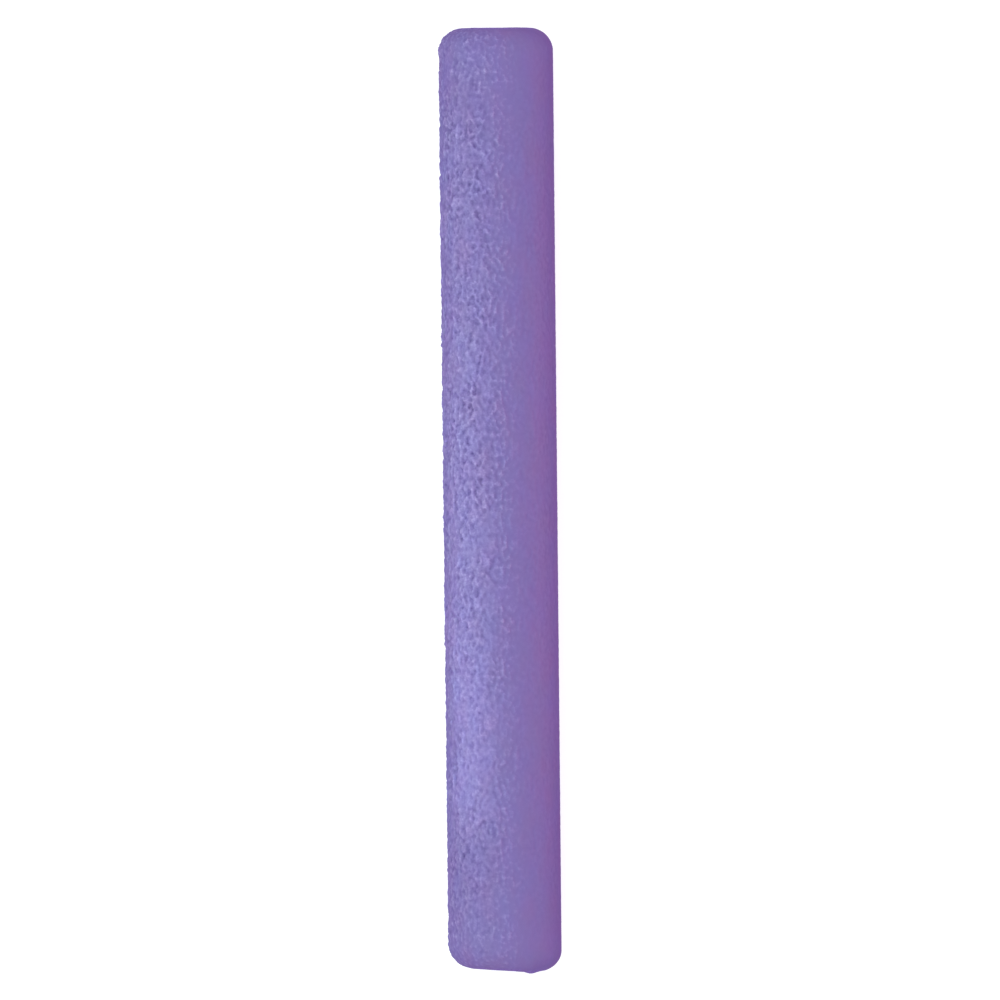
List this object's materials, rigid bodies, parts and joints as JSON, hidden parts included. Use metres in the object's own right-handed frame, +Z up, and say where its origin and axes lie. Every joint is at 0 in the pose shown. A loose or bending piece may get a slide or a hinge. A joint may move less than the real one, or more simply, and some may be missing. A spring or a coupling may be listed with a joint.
{
  "type": "pool noodle",
  "caption": "Thick round foam noodle for floating in a pool, with a pebbled purple skin, well rounded ends and a straight hole through its core, lying on its side.",
  "frame": {"origin": "on the floor, under the middle of the noodle's overall length", "axes": "+X along the noodle, from the square head end to the tail end, whose cut leans; +Z up; +Y towards the side on which the noodle is longer"},
  "size_m": [1.2, 0.144, 0.1435],
  "materials": {
    "foam": "purple closed-cell polyethylene foam with a pebbled satin skin, and cut cells on its end faces"
  },
  "bodies": {
    "root": {"foam_tube": "foam"}
  },
  "joints": []
}
